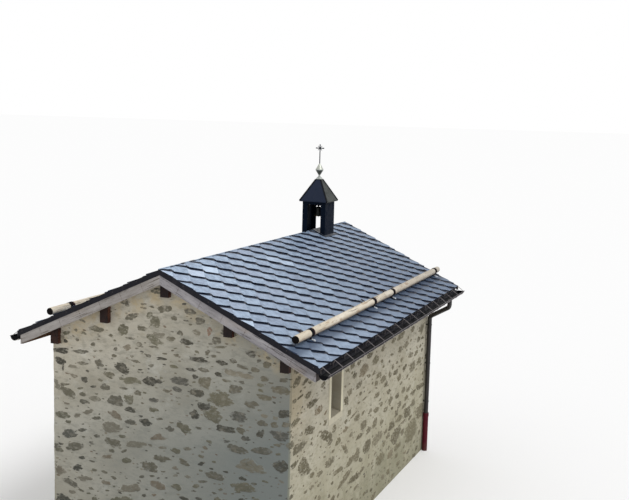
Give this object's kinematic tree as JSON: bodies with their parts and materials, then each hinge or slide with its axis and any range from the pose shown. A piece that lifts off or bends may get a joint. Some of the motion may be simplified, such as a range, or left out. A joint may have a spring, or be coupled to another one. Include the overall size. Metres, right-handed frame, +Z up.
{
  "type": "small chapel",
  "caption": "Small rubble stone mountain chapel with a gabled slate roof, snow guard logs, gutters and an open ridge turret with a swinging bell.",
  "frame": {"origin": "bottom centre of the bounding box, at the lowest ground level under the middle of the chapel", "axes": "+Z up, Y along the ridge with the bell turret towards +Y, X across the gables"},
  "size_m": [5.914, 8.608, 6.984],
  "materials": {
    "stone": "rubble stone flush pointed in lime mortar, matt",
    "mortar": "smooth lime mortar, matt",
    "floor_stone": "worn stone flags, matt",
    "dark_timber": "old stained softwood, matt",
    "roof_timber": "sawn softwood, matt",
    "grey_timber": "weathered silver grey softwood, matt",
    "door_timber": "stained plank, satin",
    "window_glass": "clear pane, slightly dusty",
    "slate": "split slate, blue grey, satin",
    "brown_sheet": "dark brown coated sheet, satin",
    "red_iron": "red painted cast iron, semi gloss",
    "peeled_log": "peeled softwood trunk, matt",
    "forged_steel": "black painted forged steel, satin",
    "turret_sheet": "dark grey standing sheet, satin",
    "zinc": "weathered zinc, satin",
    "wrought_iron": "wrought iron, matt",
    "bronze": "dark bell bronze, satin",
    "yoke_timber": "oiled hardwood, matt"
  },
  "bodies": {
    "chapel": {"near_gable_wall": "stone", "far_gable_wall": "stone", "right_side_wall": "stone", "left_side_wall": "stone", "window_surrounds": "mortar", "window_frames": "door_timber", "window_glass": "window_glass", "floor": "floor_stone", "door_threshold": "floor_stone", "door_frame": "door_timber", "door_leaf": "door_timber", "ridge_purlin": "dark_timber", "mid_purlins": "dark_timber", "wall_plates": "dark_timber", "rafters": "roof_timber", "roof_boards_right": "roof_timber", "roof_boards_left": "roof_timber", "fascia_boards": "roof_timber", "slates_right": "slate", "slates_left": "slate", "near_bargeboards": "grey_timber", "far_bargeboards": "grey_timber", "near_verge_flashing": "brown_sheet", "far_verge_flashing": "brown_sheet", "gutter_right": "brown_sheet", "gutter_left": "brown_sheet", "gutter_brackets": "zinc", "downpipe_right": "brown_sheet", "downpipe_left": "brown_sheet", "downpipe_clips": "brown_sheet", "standpipes": "red_iron", "snow_logs_right": "peeled_log", "snow_logs_left": "peeled_log", "snow_log_straps": "forged_steel", "turret_saddle": "turret_sheet", "turret_end_frames": "turret_sheet", "turret_side_walls": "turret_sheet", "turret_roof": "turret_sheet", "turret_finial": "zinc", "turret_cross": "wrought_iron", "bell_bearings": "forged_steel"},
    "bell": {"bell_yoke": "yoke_timber", "bell": "bronze"},
    "clapper": {"clapper": "wrought_iron"}
  },
  "joints": [
    {"name": "bell_swing", "type": "hinge", "parent": "chapel", "child": "bell", "pos_m": [0, 2.54, 5.662], "axis": [1, 0, 0], "range_deg": [-30, 30]},
    {"name": "clapper_swing", "type": "hinge", "parent": "bell", "child": "clapper", "pos_m": [0, 2.54, 5.575], "axis": [1, 0, 0], "range_deg": [-16, 16]}
  ]
}
